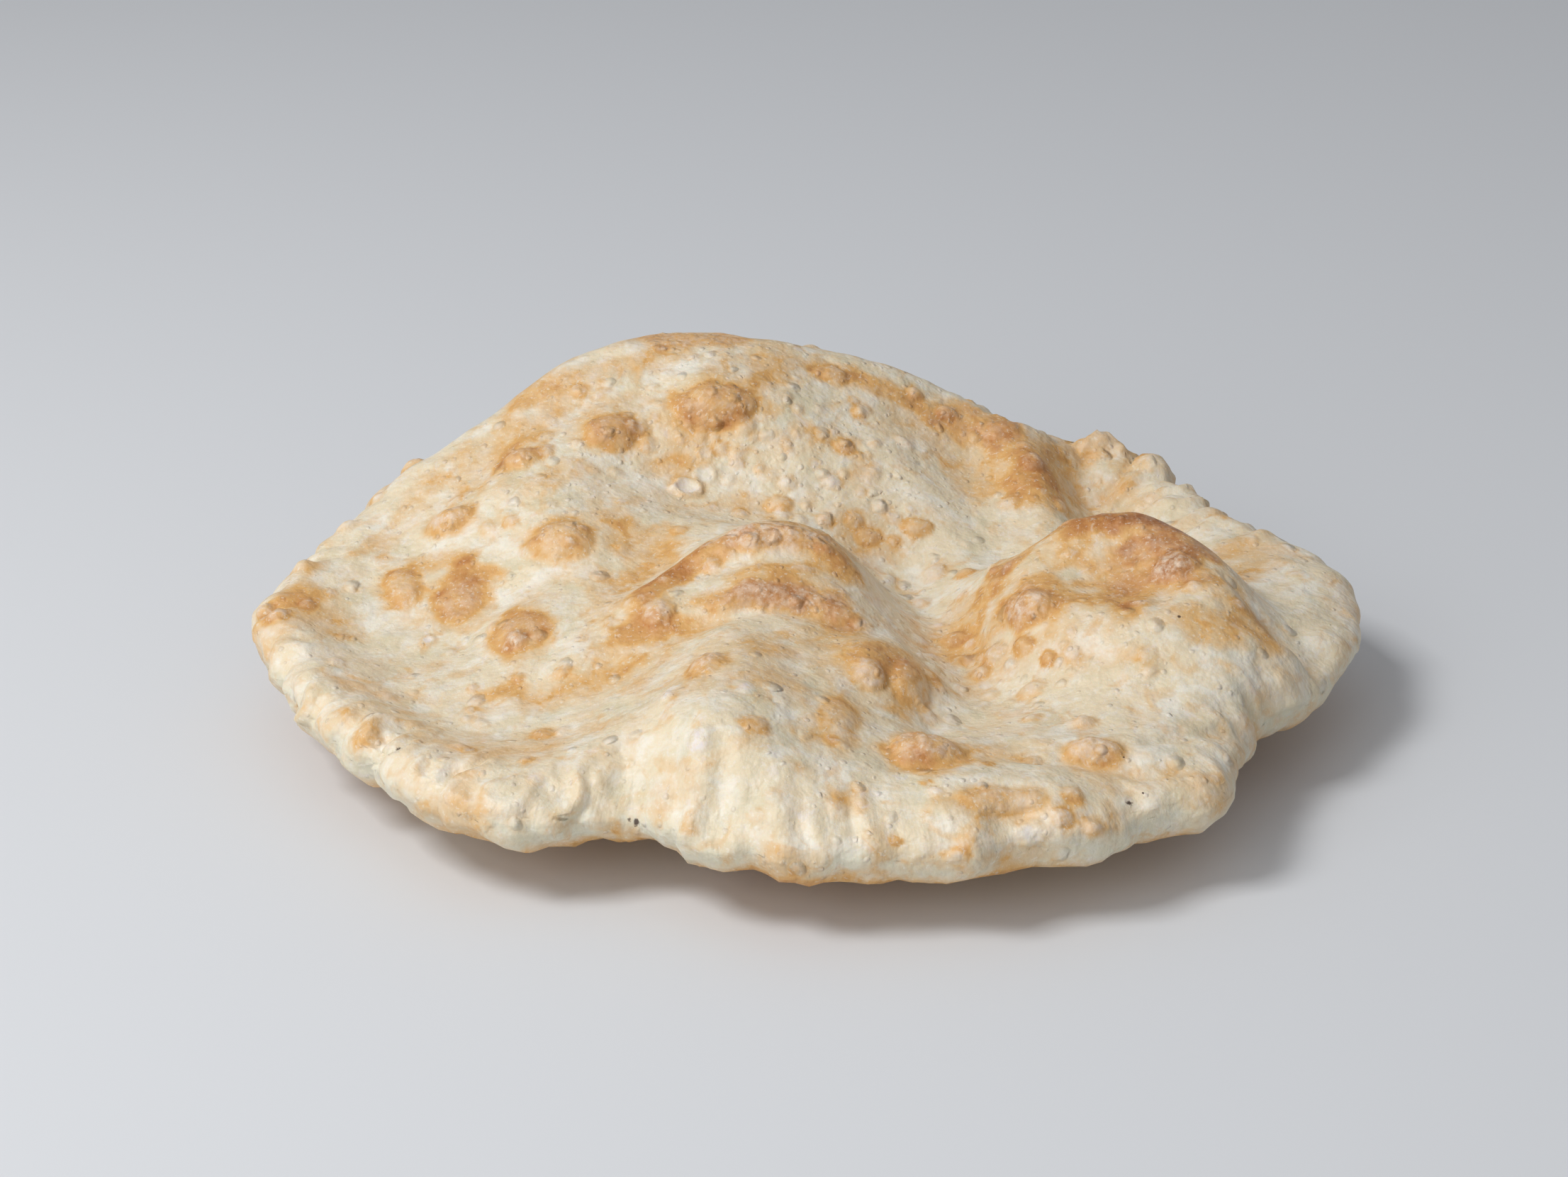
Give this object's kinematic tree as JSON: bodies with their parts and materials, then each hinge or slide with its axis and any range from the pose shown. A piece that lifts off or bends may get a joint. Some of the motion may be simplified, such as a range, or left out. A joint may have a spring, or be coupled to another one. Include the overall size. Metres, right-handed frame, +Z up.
{
  "type": "fried flatbread",
  "caption": "Puffed, blistered round flatbread of fried wheat dough, with a high back dome, folded humps and a rolled, ruffled rim.",
  "frame": {"origin": "middle of the bread's plan bounding box, on the plane of the resting spot", "axes": "+Z up, +X along the bread's longest side to the viewer's right, +Y away from the viewer, towards the high back dome"},
  "size_m": [0.2584, 0.224, 0.0647],
  "materials": {
    "fried_dough": "pale golden fried wheat dough with browned blisters and a thin sheen of oil"
  },
  "bodies": {
    "root": {"bhatura": "fried_dough"}
  },
  "joints": []
}
